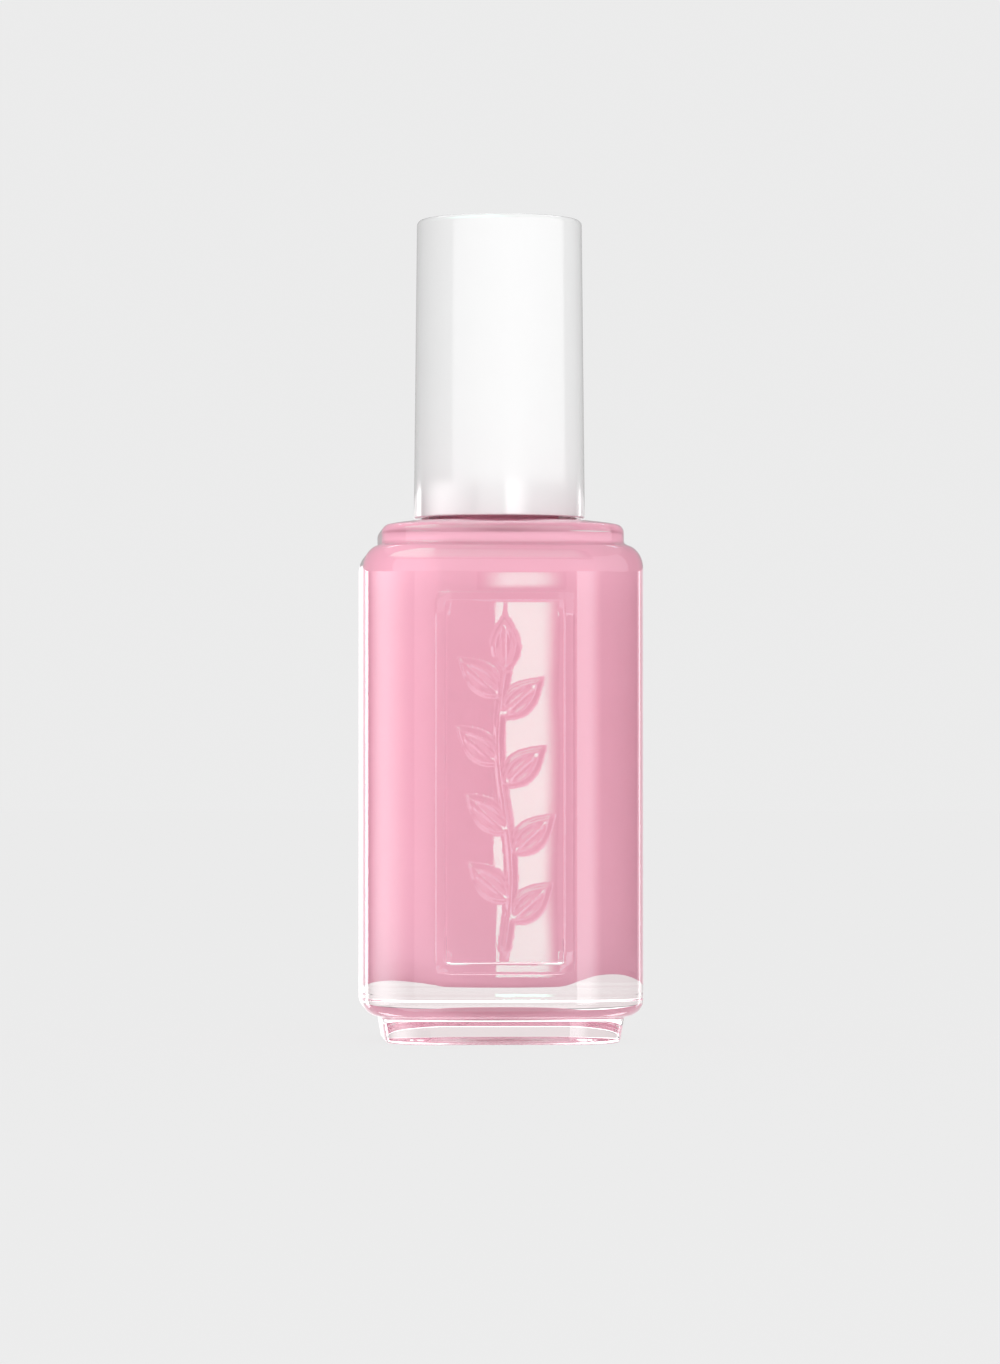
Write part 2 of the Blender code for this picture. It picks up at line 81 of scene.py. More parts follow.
# Glass neck and its screw thread
NECK_RADIUS = 5.4 * MM
NECK_FOOT_RADIUS = 5.9 * MM
LIP_TOP = 58.0 * MM
LIP_EDGE = 0.4 * MM
BORE_RADIUS = 3.7 * MM
BORE_LOW = 48.0 * MM
BORE_FLARE = 1.2 * MM
BORE_RISE = 0.3 * MM
THREAD_PITCH = 2.117 * MM
THREAD_TURNS = 1.5
THREAD_LOW = 53.4 * MM
NECK_CREST = 5.85 * MM
CAP_ROOT = 6.3 * MM
CAP_CREST = 5.95 * MM
THREAD_BASE = 1.2 * MM
THREAD_TIP = 0.5 * MM
THREAD_FADE = 0.6
THREAD_STEP = 0.09 * MM

# Hollow of the glass body
CAVITY_HALF = 10.2 * MM
CAVITY_CORNER = 4.5 * MM
CAVITY_FLOOR = 5.1 * MM
CAVITY_FLOOR_ROUND = 5.0 * MM
CAVITY_FLOOR_RISE = 7.0 * MM
CAVITY_FLOOR_CORNER = 6.0 * MM
CAVITY_FLOOR_FLAT = 0.9
CAVITY_ROUNDEST = 0.95
CAVITY_HIGH = 43.6 * MM
CAVITY_ROOF = 46.2 * MM
CAVITY_ROOF_ROUND = 1.8 * MM
CAVITY_TAPER = 0.15 * MM

# Raised frame and leaf sprig on the front
PANEL_LEFT = -6.5 * MM
PANEL_RIGHT = 6.15 * MM
PANEL_LOW = 6.39 * MM
PANEL_HIGH = 40.9 * MM
PANEL_CORNER = 0.9 * MM
FRAME_WIDTH = 1.1 * MM
RELIEF_HEIGHT = 0.35 * MM
RELIEF_SLOPE = 0.23 * MM
CHAMFER_FOOT = 0.25
CHAMFER_RISE = 0.6
SPRIG_SLOPE = 0.36 * MM
SPRIG_STEP = 0.12 * MM
BAR_SLOPE_POINTS = 9
BAR_SLOPE_GUARD = 0.02 * MM
SPRIG_LOW = 8.9 * MM
SPRIG_HIGH = 33.4 * MM
SPRIG_SWAY = 0.6 * MM
SPRIG_STEM = 0.5 * MM
LEAF_LENGTH = 5.3 * MM
LEAF_WIDTH = 1.35 * MM
LEAF_PAIRS = 4
LEAF_TILT = math.radians(48)
LEAF_POWER = 0.85
LEAF_START = 0.35
LEAF_STAGGER = 0.3
LEAF_RIM = 0.5 * MM
VEIN_HALF = 0.16 * MM
LEAF_SINK = 0.6

# Lacquer, balls and label
WETTING = 0.03 * MM
LIQUID_TOP = 50.0 * MM
MENISCUS = 0.45 * MM
MENISCUS_POWER = 6
MENISCUS_START = 0.3 * MM
BALL_RADIUS = 2.0 * MM
LABEL_RADIUS = 6.8 * MM
LABEL_EDGE = 0.4
LABEL_RING = 0.88

# Cap and what it holds
CAP_LOW = 47.87 * MM
CAP_HIGH = 75.3 * MM
CAP_DOME = 0.1 * MM
CAP_LOW_RADIUS = 7.85 * MM
CAP_HIGH_RADIUS = 7.575 * MM
CAP_EDGE = 0.55 * MM
CAP_WALL = 0.75 * MM
CAP_CEILING = 74.2 * MM
CAP_LIP = 0.16 * MM
CAP_FILLET = 0.4 * MM
CAP_HUB_RADIUS = 3.0 * MM
CAP_POINTS = 192
INNER_LOW = 48.4 * MM
INNER_RADIUS = 6.85 * MM
INNER_CEILING = 60.25 * MM
INNER_ROOF = 62.2 * MM
INNER_EDGE = 0.2 * MM
RIB_TOP = 73.9 * MM
RIB_REACH = 6.4 * MM
RIB_HALF = 0.45 * MM
RIB_SUNK = 0.2 * MM
LINER_THREAD_GAP = 0.3 * MM
SOCKET_RADIUS = 2.6 * MM
SOCKET_ROOF = 64.5 * MM
TOWER_RADIUS = 3.6 * MM
TOWER_TOP = 65.5 * MM
SEAL_INNER = 2.2 * MM
SEAL_OUTER = 5.2 * MM
SEAL_LOW = 58.15 * MM
SEAL_HIGH = 58.95 * MM
SEAL_EDGE = 0.2 * MM
FLANGE_LOW = 59.1 * MM
FLANGE_HIGH = 60.1 * MM
FLANGE_RADIUS = 6.0 * MM
BOSS_RADIUS = 2.4 * MM
BOSS_TOP = 64.2 * MM
STEM_TOP_RADIUS = 1.75 * MM
STEM_END_RADIUS = 1.5 * MM
STEM_END = 24.0 * MM
STEM_EDGE = 0.15 * MM
STEM_FILLET = 0.4 * MM
TUFT_SOCKET_RADIUS = 1.15 * MM
TUFT_SOCKET_TOP = 29.0 * MM
TUFT_TOP = 28.6 * MM
TUFT_ROOT_RADIUS = 1.0 * MM
TUFT_BELLY_RADIUS = 1.6 * MM
TUFT_TIP = 8.5 * MM
TUFT_SWELL_START = 0.2
TUFT_SWELL_LENGTH = 0.5
TUFT_DOME = 4.2 * MM
TUFT_DOME_SHARE = 0.95
TUFT_CLOSING = 0.28
TUFT_CLOSING_LENGTH = 6.0 * MM
FILAMENTS = 220
FILAMENT_RADIUS = 0.05 * MM
FILAMENT_SIDES = 5
FILAMENT_RINGS = 9
FILAMENT_SCATTER = 0.25 * MM
SCATTER_PHASE = 2.7
FILAMENT_LEAN = 0.045
LEAN_PHASE = 1.9
FILAMENT_FREE = 5.0 * MM
GOLDEN_ANGLE = math.pi * (3 - math.sqrt(5))
STAPLE_EDGE = 0.04 * MM

# Facets
CORNER_STEPS = 12
TURNED_POINTS = 128
CAVITY_SIDE_POINTS = 9

# Camera and studio
CAMERA_TURN = math.radians(-3)
CAMERA_DISTANCE = 0.551
CAMERA_SIDE = 0.06 * MM
CAMERA_HEIGHT = 0.02295
CAMERA_PITCH = math.radians(1.03)
LENS = 158.4
SENSOR = 36.0
BACKDROP = 0.835
CARD_RADIUS = 0.8
CARD_CENTRE = 0.03
CARD_COLUMNS = 24
CARD_ROWS = 8
CAP_LIFT = (3.5, 42.0)
BODY_LIFT = (-22.0, 3.5)
STRIP_LIFT = (-3.6, 2.5)
GLOW_LIFT = (2.66, 3.12)
VEIL = (0.4, 1.0, 0.78)
TENT_LEVEL = 0.84
TENT_COLOUR = (1.0, 0.9, 0.91)
TENT_RADIUS = 9.0
FLOOR_SHARE = 0.05
FLOOR_ALBEDO = 0.045
FLOOR_RADIUS = 6.0


# Shapes

def smooth_step(value):
    """0 below 0, 1 above 1 and an even S-curve between them."""
    share = np.clip(value, 0.0, 1.0)
    return share * share * (3 - 2 * share)


def bevel(value):
    """0 below 0, 1 above 1 and an even slope between them, as a press mould leaves it."""
    return np.clip(value, 0.0, 1.0)


def corner_points(half, corner):
    """One corner from its +X end to its +Y end."""
    angles = np.linspace(0, math.pi / 2, CORNER_STEPS + 1)
    turned_away = np.stack([np.cos(angles), np.sin(angles)], axis=1)
    return half - corner + corner * turned_away


def square_ring(half, corner, front_shares, side_shares):
    """A rounded square, counterclockwise. Shares from -1 to 1 place points along its sides."""
    straight = half - corner
    first = corner_points(half, corner)
    points = []
    for quarter in range(4):
        turn = math.pi / 2 * quarter
        spin = np.array([[math.cos(turn), math.sin(turn)], [-math.sin(turn), math.cos(turn)]])
        shares = front_shares if quarter == 2 else side_shares
        side = np.stack([-straight * shares, np.full(len(shares), half)], axis=1)
        points.append(np.concatenate([first, side]) @ spin)
    return np.concatenate(points)


def circle_ring(radius, count=TURNED_POINTS, first=0.0):
    angles = first + np.arange(count) * 2 * math.pi / count
    return np.stack([radius * np.cos(angles), radius * np.sin(angles)], axis=1)


def arc_profile(centre, radii, first, last, steps):
    """Points (half width, height) along an elliptical arc, its angles in degrees."""
    angles = np.radians(np.linspace(first, last, steps + 1))
    across = centre[0] + radii[0] * np.cos(angles)
    up = centre[1] + radii[1] * np.sin(angles)
    return list(zip(across, up))


def round_profile(centre, radius, first, last, steps):
    """Points (half width, height) along a circular arc, its angles in degrees."""
    return arc_profile(centre, (radius, radius), first, last, steps)


def stack(rings, heights):
    """Rings of the same count as one array of points (ring, point, 3)."""
    levels = [np.column_stack([ring, np.full(len(ring), z)]) for ring, z in zip(rings, heights)]
    return np.array(levels)


def turned_levels(profile, count=TURNED_POINTS):
    """Circles from (radius, height) pairs, as one array of points (ring, point, 3)."""
    rings = [circle_ring(radius, count) for radius, _ in profile]
    return stack(rings, [height for _, height in profile])


def tube_faces(rings, count):
    """Quads between successive rings of count points."""
    index = np.arange(count)
    after = (index + 1) % count
    faces = []
    for level in range(rings - 1):
        low = level * count
        high = low + count
        quads = np.stack([low + index, low + after, high + after, high + index], axis=1)
        faces += quads.tolist()
    return faces


def mesh_of(name, bm):
    mesh = bpy.data.meshes.new(name)
    bm.to_mesh(mesh)
    bm.free()
    return mesh


def linked(name, mesh):
    made = bpy.data.objects.new(name, mesh)
    bpy.context.scene.collection.objects.link(made)
    return made


def finished(name, bm, sharp=30):
    """An object from a bmesh, smooth but for its edges over sharp degrees."""
    bmesh.ops.recalc_face_normals(bm, faces=bm.faces)
    mesh = mesh_of(name, bm)
    mesh.shade_smooth()
    mesh.set_sharp_from_angle(angle=math.radians(sharp))
    return linked(name, mesh)


def body_through(groups):
    """A closed body through groups of rings: each group has one count of points, and a
    flat or narrow band joins one group to the next."""
    bm = bmesh.new()
    loops = []
    for points in groups:
        rings, count = points.shape[:2]
        verts = [bm.verts.new(point) for point in points.reshape(-1, 3)]
        for face in tube_faces(rings, count):
            bm.faces.new([verts[index] for index in face])
        loops.append((verts[:count], verts[-count:]))
    for (_, last), (first, _) in zip(loops, loops[1:]):
        ends = []
        for loop in (last, first):
            for one, two in zip(loop, loop[1:] + loop[:1]):
                ends.append(bm.edges.get((one, two)) or bm.edges.new((one, two)))
        bmesh.ops.bridge_loops(bm, edges=ends)
    bm.faces.new(loops[0][0])
    bm.faces.new(loops[-1][1])
    return bm


def turned(profile, count=TURNED_POINTS):
    """A body of revolution from (radius, height) pairs, first to last along its surface."""
    return body_through([turned_levels(profile, count)])


def block(low, high):
    """A box from its low corner to its high corner."""
    bm = bmesh.new()
    bmesh.ops.create_cube(bm, size=1.0)
    for vertex in bm.verts:
        for axis in range(3):
            vertex.co[axis] = low[axis] if vertex.co[axis] < 0 else high[axis]
    return bm


def thread_rise(points):
    """How far into its ridge, from 0 to 1, each point of a threaded wall is."""
    turns = np.arctan2(points[..., 1], points[..., 0]) / (2 * math.pi) % 1.0
    rise = np.zeros(points.shape[:-1])
    for turn in range(math.ceil(THREAD_TURNS)):
        along = turns + turn
        middle = THREAD_LOW + THREAD_PITCH * along
        off = np.abs(points[..., 2] - middle)
        flank = smooth_step((THREAD_BASE / 2 - off) / ((THREAD_BASE - THREAD_TIP) / 2))
        ends = np.minimum(along, THREAD_TURNS - along) * 2 * math.pi / THREAD_FADE
        rise = np.maximum(rise, flank * smooth_step(ends))
    return rise


def threaded_wall(root, crest, heights):
    """Rings of a round wall at radius root, drawn out to crest along the thread."""
    points = stack([circle_ring(root)] * len(heights), heights)
    scale = (root + (crest - root) * thread_rise(points)) / root
    points[..., :2] *= scale[..., None]
    return points


# Relief on the front

def frame_relief(x, z):
    """Rise of the raised frame, from 0 to 1: a chamfered band along a round-cornered
    rectangle."""
    half_x = (PANEL_RIGHT - PANEL_LEFT - FRAME_WIDTH) / 2 - PANEL_CORNER
    half_z = (PANEL_HIGH - PANEL_LOW - FRAME_WIDTH) / 2 - PANEL_CORNER
    off_x = np.abs(x - (PANEL_LEFT + PANEL_RIGHT) / 2) - half_x
    off_z = np.abs(z - (PANEL_LOW + PANEL_HIGH) / 2) - half_z
    outside = np.hypot(off_x.clip(0), off_z.clip(0))
    distance = outside + np.minimum(np.maximum(off_x, off_z), 0) - PANEL_CORNER
    inward = (FRAME_WIDTH / 2 - np.abs(distance)) / RELIEF_SLOPE
    return np.interp(inward, (0.0, CHAMFER_FOOT, 1.0), (0.0, CHAMFER_RISE, 1.0))


def sprig_point(share):
    """A point on the sprig's stem, at a share of its height."""
    centre = (PANEL_LEFT + PANEL_RIGHT) / 2
    sway = SPRIG_SWAY * math.sin(2 * math.pi * share)
    return centre + sway, SPRIG_LOW + (SPRIG_HIGH - SPRIG_LOW) * share


def leaf_relief(x, z, root, tilt):
    """Rise of a pointed leaf tilted from upright towards +X: its rim and vein stand proud."""
    along = (x - root[0]) * math.sin(tilt) + (z - root[1]) * math.cos(tilt)
    across = np.abs((x - root[0]) * math.cos(tilt) - (z - root[1]) * math.sin(tilt))
    share = (along / LEAF_LENGTH).clip(0, 1)
    width = LEAF_WIDTH * np.sin(math.pi * share ** LEAF_POWER)
    rise = bevel((width - across) / SPRIG_SLOPE)
    hollow = smooth_step((width - across - LEAF_RIM) / SPRIG_SLOPE)
    hollow *= smooth_step((across - VEIN_HALF) / SPRIG_SLOPE)
    return rise * (1 - LEAF_SINK * hollow)


def sprig_relief(x, z):
    """Rise of the leaf sprig: one stem, leaves in pairs and one leaf at its tip."""
    share = ((z - SPRIG_LOW) / (SPRIG_HIGH - SPRIG_LOW)).clip(0, 1)
    centre = (PANEL_LEFT + PANEL_RIGHT) / 2 + SPRIG_SWAY * np.sin(2 * math.pi * share)
    beyond = np.maximum(SPRIG_LOW - z, z - SPRIG_HIGH).clip(0)
    rise = bevel((SPRIG_STEM - np.hypot(x - centre, beyond)) / SPRIG_SLOPE)
    for pair in range(LEAF_PAIRS):
        for side in (1, -1):
            root = sprig_point((pair + LEAF_START + LEAF_STAGGER * (side < 0)) / LEAF_PAIRS)
            rise = np.maximum(rise, leaf_relief(x, z, root, side * LEAF_TILT))
    return np.maximum(rise, leaf_relief(x, z, sprig_point(1.0), 0.0))


def relief_places(bars, sprig, step):
    """Places along one side of the panel: fine on the slopes of its two bars, each given by
    its edges, with a guard line beside each slope, and even over the sprig."""
    places = []
    for low, high in bars:
        for foot, top in ((low, low + RELIEF_SLOPE), (high - RELIEF_SLOPE, high)):
            places.append([foot - BAR_SLOPE_GUARD, top + BAR_SLOPE_GUARD])
            places.append(np.linspace(foot, top, BAR_SLOPE_POINTS))
    places.append(np.linspace(*sprig, round((sprig[1] - sprig[0]) / step)))
    return np.unique(np.concatenate(places).round(8))


def relief_columns():
    """The places in x of the grid that carries the relief."""
    bars = [(PANEL_LEFT, PANEL_LEFT + FRAME_WIDTH), (PANEL_RIGHT - FRAME_WIDTH, PANEL_RIGHT)]
    sprig = (PANEL_LEFT + FRAME_WIDTH + RELIEF_SLOPE, PANEL_RIGHT - FRAME_WIDTH - RELIEF_SLOPE)
    return relief_places(bars, sprig, SPRIG_STEP)


def relief_rows():
    """The places in z of the grid that carries the relief."""
    bars = [(PANEL_LOW, PANEL_LOW + FRAME_WIDTH), (PANEL_HIGH - FRAME_WIDTH, PANEL_HIGH)]
    sprig = (SPRIG_LOW - SPRIG_STEM, SPRIG_HIGH + LEAF_LENGTH)
    return relief_places(bars, sprig, SPRIG_STEP)


def with_relief(points):
    """The front of the outside, pressed out into the frame and the sprig."""
    x, y, z = points[..., 0], points[..., 1], points[..., 2]
    rise = np.maximum(frame_relief(x, z), sprig_relief(x, z))
    made = points.copy()
    made[..., 1] -= np.where(y < -BODY_HALF + WETTING, rise, 0.0) * RELIEF_HEIGHT
    return made


# Pieces

def outer_corner(half):
    """The plan corner radius of the outside, which grows with the half width."""
    share = (half - FOOT_TOP_HALF) / (BODY_HALF - FOOT_TOP_HALF)
    return STEP_CORNER + (BODY_CORNER - STEP_CORNER) * max(share, LEAST_CORNER_SHARE)


def outside_profile():
    """Half width and height of the square outside, from its base recess to its shoulder."""
    swell = BODY_HALF - FOOT_TOP_HALF
    inner = BEARING_INNER_HALF
    profile = [(inner - 4 * RECESS_EDGE, RECESS_DEPTH)]
    recess = (inner - 3 * RECESS_EDGE, RECESS_DEPTH - RECESS_EDGE)
    profile += round_profile(recess, RECESS_EDGE, 90, 0, 4)
    profile += round_profile((inner, RECESS_EDGE), RECESS_EDGE, 180, 270, 4)
    profile += round_profile((FOOT_HALF - FOOT_EDGE, FOOT_EDGE), FOOT_EDGE, -90, 0, 6)
    fillet = (FOOT_TOP_HALF + FOOT_FILLET, FOOT_TOP - FOOT_FILLET)
    profile += round_profile(fillet, FOOT_FILLET, 180, 105, 5)
    lower = (FOOT_TOP_HALF, BODY_LOW)
    profile += arc_profile(lower, (swell, BODY_LOW - FOOT_TOP), -75, 0, 12)
    for step in range(1, RIPPLES * RIPPLE_STEPS + 1):
        wave = 0.5 - 0.5 * math.cos(2 * math.pi * step / RIPPLE_STEPS)
        height = BODY_LOW + RIPPLE_PITCH * step / RIPPLE_STEPS
        profile.append((BODY_HALF - RIPPLE_DEPTH * wave, height))
    above = np.linspace(PANEL_HIGH, BODY_HIGH, 5)[1:-1]
    for height in np.concatenate([relief_rows(), above]):
        profile.append((BODY_HALF, height))
    upper = (FOOT_TOP_HALF, BODY_HIGH)
    profile += arc_profile(upper, (swell, STEP_LOW - BODY_HIGH), 0, 78, 12)
    groove = (FOOT_TOP_HALF + STEP_GROOVE, STEP_LOW + STEP_GROOVE)
    profile += round_profile(groove, STEP_GROOVE, 255, 180, 5)
    edge = (FOOT_TOP_HALF - STEP_EDGE, STEP_TOP - STEP_EDGE)
    profile += round_profile(edge, STEP_EDGE, 0, 80, 8)
    last = profile[-1]
    for share in np.linspace(0, 1, 6)[1:]:
        rise = (SHOULDER_TOP - last[1]) * share ** SHOULDER_POWER
        profile.append((last[0] + (SHOULDER_HALF - last[0]) * share, last[1] + rise))
    return profile


def cavity_profile(outset=0.0):
    """(half width, plan corner, height) of the square hollow, from its top down."""
    rings = []
    roof = (CAVITY_HALF - CAVITY_ROOF_ROUND, CAVITY_HIGH)
    radii = (CAVITY_ROOF_ROUND + outset, CAVITY_ROOF - CAVITY_HIGH + outset)
    for half, height in arc_profile(roof, radii, 86, 0, 12):
        rings.append((half, CAVITY_CORNER, height))
    floor = (CAVITY_HALF - CAVITY_TAPER - CAVITY_FLOOR_ROUND, CAVITY_FLOOR + CAVITY_FLOOR_RISE)
    for height in np.linspace(CAVITY_HIGH, floor[1], 8)[1:-1]:
        share = (CAVITY_HIGH - height) / (CAVITY_HIGH - floor[1])
        rings.append((CAVITY_HALF + outset - CAVITY_TAPER * share, CAVITY_CORNER, height))
    radii = (CAVITY_FLOOR_ROUND + outset, CAVITY_FLOOR_RISE + outset)
    for half, height in arc_profile(floor, radii, 0, -86, 18):
        share = (floor[1] - height) / CAVITY_FLOOR_RISE
        corner = CAVITY_CORNER + (CAVITY_FLOOR_CORNER - CAVITY_CORNER) * min(share, 1.0)
        rings.append((half, min(corner, half * CAVITY_ROUNDEST), height))
    last = floor[0] * CAVITY_FLOOR_FLAT
    rings.append((last, last * CAVITY_ROUNDEST, CAVITY_FLOOR - outset))
    return rings


def cavity_levels(outset=0.0):
    """The rings of the square hollow. An outset grows it, plan corners as well."""
    shares = np.linspace(-1, 1, CAVITY_SIDE_POINTS + 2)[1:-1]
    rings = cavity_profile(outset)
    squares = []
    for half, corner, _ in rings:
        squares.append(square_ring(half, min(corner + outset, half), shares, shares))
    return stack(squares, [height for _, _, height in rings])


def bore_profile(outset=0.0):
    """(radius, height) of the bore's foot, which flares into the hollow's roof."""
    centre = (BORE_RADIUS + BORE_FLARE, BORE_LOW - BORE_RISE)
    return round_profile(centre, BORE_FLARE - outset, 180, 262, 8)


def make_glass():
    """The bottle: its outside with the relief, the threaded neck, the bore and the hollow."""
    front = relief_columns() / (BODY_HALF - BODY_CORNER)
    side = np.linspace(-1, 1, 7)[1:-1]
    profile = outside_profile()
    rings = [square_ring(half, outer_corner(half), front, side) for half, _ in profile]
    outside = with_relief(stack(rings, [height for _, height in profile]))

    foot = NECK_FOOT_RADIUS - NECK_RADIUS
    fillet = round_profile((NECK_FOOT_RADIUS, NECK_FOOT + foot), foot, 270, 180, 5)
    heights = np.arange(THREAD_LOW - THREAD_BASE, LIP_TOP - LIP_EDGE, THREAD_STEP)
    inside = round_profile((NECK_RADIUS - LIP_EDGE, LIP_TOP - LIP_EDGE), LIP_EDGE, 0, 90, 6)
    inside += round_profile((BORE_RADIUS + LIP_EDGE, LIP_TOP - LIP_EDGE), LIP_EDGE, 90, 180, 6)
    inside += [(BORE_RADIUS, LIQUID_TOP + 1 * MM), (BORE_RADIUS, LIQUID_TOP - 1 * MM)]
    inside += bore_profile()
    wall = threaded_wall(NECK_RADIUS, NECK_CREST, heights)
    tube = np.concatenate([turned_levels(fillet), wall, turned_levels(inside)])
    glass = finished("bottle_glass", body_through([outside, tube, cavity_levels()]), sharp=60)
    placed(glass, "bottle", "glass_bottle", glass_material())


def make_lacquer():
    """The liquid. It wets the glass, so its skin lies a hair inside the wall."""
    profile = []
    for radius in np.linspace(MENISCUS_START, BORE_RADIUS + WETTING, 12):
        dip = MENISCUS * (1 - (radius / BORE_RADIUS) ** MENISCUS_POWER)
        profile.append((radius, LIQUID_TOP - dip))
    profile += bore_profile(WETTING)
    levels = [turned_levels(profile), cavity_levels(WETTING)]
    liquid = finished("pink_lacquer", body_through(levels), sharp=60)
    placed(liquid, "bottle", "nail_lacquer", lacquer_material())


def make_balls():
    """The two steel balls that stir the lacquer."""
    finish = steel_material()
    for number in (1, 2):
        node = f"mixing_ball_{number}"
        low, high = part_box(node)
        bm = bmesh.new()
        bmesh.ops.create_uvsphere(bm, u_segments=48, v_segments=32, radius=BALL_RADIUS)
        ball = finished(f"agitator_ball_{number}", bm)
        ball.location = (low + high) / 2
        placed(ball, f"ball_{number}", node, finish)


def make_label():
    """A thin round label with an eased lower edge."""
    low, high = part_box("base_label")
    edge = (high.z - low.z) * LABEL_EDGE
    profile = [(LABEL_RADIUS - 2 * edge, low.z), (LABEL_RADIUS - edge, low.z + 0.2 * edge)]
    profile += [(LABEL_RADIUS, low.z + edge), (LABEL_RADIUS, high.z)]
    label = finished("underside_label", turned(profile))
    placed(label, "bottle", "base_label", label_material())


def make_cap():
    """The outer cap: a tapered sleeve with a rounded rim, a rounded edge and a faint dome."""
    inner_low = CAP_LOW_RADIUS - CAP_WALL
    inner_high = CAP_HIGH_RADIUS - CAP_WALL
    rim = CAP_LOW + CAP_LIP
    edge = (CAP_HIGH_RADIUS - CAP_EDGE, CAP_HIGH - CAP_EDGE)
    fillet = (inner_high - CAP_FILLET, CAP_CEILING - CAP_FILLET)
    profile = [(CAP_HUB_RADIUS, CAP_CEILING)]
    profile += round_profile(fillet, CAP_FILLET, 90, 0, 5)
    profile += round_profile((inner_low + CAP_LIP, rim), CAP_LIP, 180, 270, 5)
    profile += round_profile((CAP_LOW_RADIUS - CAP_LIP, rim), CAP_LIP, -90, 0, 5)
    for share in np.linspace(0, 1, 8)[1:-1]:
        radius = CAP_LOW_RADIUS + (CAP_HIGH_RADIUS - CAP_LOW_RADIUS) * share
        profile.append((radius, rim + (edge[1] - rim) * share))
    profile += round_profile(edge, CAP_EDGE, 0, 84, 10)
    for share in np.linspace(0, 1, 8)[1:-1]:
        profile.append((edge[0] * (1 - share), CAP_HIGH + CAP_DOME * share * (2 - share)))
    cap = finished("white_cap", turned(profile, CAP_POINTS), sharp=40)
    placed(cap, "cap", "outer_cap", cap_material())


def make_liner():
    """The threaded liner of the cap: skirt, ceiling, stem tower and centring ribs."""
    edge = INNER_EDGE
    socket = [(SOCKET_RADIUS, SOCKET_ROOF), (SOCKET_RADIUS, INNER_CEILING), (CAP_ROOT, INNER_CEILING)]
    heights = np.arange(INNER_CEILING - LINER_THREAD_GAP, THREAD_LOW - THREAD_BASE, -THREAD_STEP)
    outside = round_profile((CAP_ROOT + edge, INNER_LOW + edge), edge, 180, 270, 4)
    outside += round_profile((INNER_RADIUS - edge, INNER_LOW + edge), edge, -90, 0, 4)
    outside += round_profile((INNER_RADIUS - edge, INNER_ROOF - edge), edge, 0, 90, 4)
    outside += [(TOWER_RADIUS, INNER_ROOF), (TOWER_RADIUS, TOWER_TOP)]
    wall = threaded_wall(CAP_ROOT, CAP_CREST, heights)
    points = np.concatenate([turned_levels(socket), wall, turned_levels(outside)])
    liner = finished("cap_liner", body_through([points]), sharp=40)
    for reach_x, reach_y in ((RIB_REACH, RIB_HALF), (RIB_HALF, RIB_REACH)):
        rib = block((-reach_x, -reach_y, INNER_ROOF - RIB_SUNK), (reach_x, reach_y, RIB_TOP))
        joined(liner, finished("cap_rib", rib))
    placed(liner, "cap", "inner_cap", liner_material("liner_plastic", wet=False))


def joined(target, other):
    """Unites other into target and removes it."""
    step = target.modifiers.new("join", "BOOLEAN")
    step.operation = "UNION"
    step.solver = "EXACT"
    step.object = other
    graph = bpy.context.evaluated_depsgraph_get()
    mesh = bpy.data.meshes.new_from_object(target.evaluated_get(graph))
    target.modifiers.clear()
    target.data = mesh
    bpy.data.objects.remove(other)


def make_seal():
    """A flat ring with rounded edges."""
    edge = SEAL_EDGE
    profile = []
    for centre, first in (
        ((SEAL_INNER + edge, SEAL_HIGH - edge), 90),
        ((SEAL_INNER + edge, SEAL_LOW + edge), 180),
        ((SEAL_OUTER - edge, SEAL_LOW + edge), 270),
        ((SEAL_OUTER - edge, SEAL_HIGH - edge), 360),
    ):
        profile += round_profile(centre, edge, first, first + 90, 4)
    bm = bmesh.new()
    verts = [bm.verts.new(point) for point in turned_levels(profile).reshape(-1, 3)]
    for face in tube_faces(len(profile) + 1, TURNED_POINTS):
        bm.faces.new([verts[index % len(verts)] for index in face])
    seal = finished("sealing_ring", bm)
    placed(seal, "seal", "seal_washer", seal_material())


def make_stem():
    """Rod, sealing flange and boss in one moulding, with a blind socket for the tuft."""
    edge = STEM_EDGE
    fillet = (STEM_TOP_RADIUS + STEM_FILLET, FLANGE_LOW - STEM_FILLET)
    profile = [(TUFT_SOCKET_RADIUS, TUFT_SOCKET_TOP), (TUFT_SOCKET_RADIUS, STEM_END)]
    profile += round_profile((STEM_END_RADIUS - edge, STEM_END + edge), edge, -90, 0, 4)
    profile += [(STEM_TOP_RADIUS, FLANGE_LOW - 1.5 * STEM_FILLET)]
    profile += round_profile(fillet, STEM_FILLET, 180, 90, 5)
    profile += round_profile((FLANGE_RADIUS - edge, FLANGE_LOW + edge), edge, -90, 0, 4)
    profile += round_profile((FLANGE_RADIUS - edge, FLANGE_HIGH - edge), edge, 0, 90, 4)
    profile += [(BOSS_RADIUS, FLANGE_HIGH)]
    profile += round_profile((BOSS_RADIUS - edge, BOSS_TOP - edge), edge, 0, 90, 4)
    stem = finished("applicator_stem", turned(profile, TURNED_POINTS // 2), sharp=40)
    finish = liner_material("stem_plastic", wet=True)
    placed(stem, "applicator", "brush_stem", finish)


def tuft_radius(height):
    """The tuft's radius at a height: packed at its root, then swelling to its belly."""
    down = (TUFT_TOP - height) / (TUFT_TOP - TUFT_TIP)
    swell = smooth_step((down - TUFT_SWELL_START) / TUFT_SWELL_LENGTH)
    return TUFT_ROOT_RADIUS + (TUFT_BELLY_RADIUS - TUFT_ROOT_RADIUS) * swell


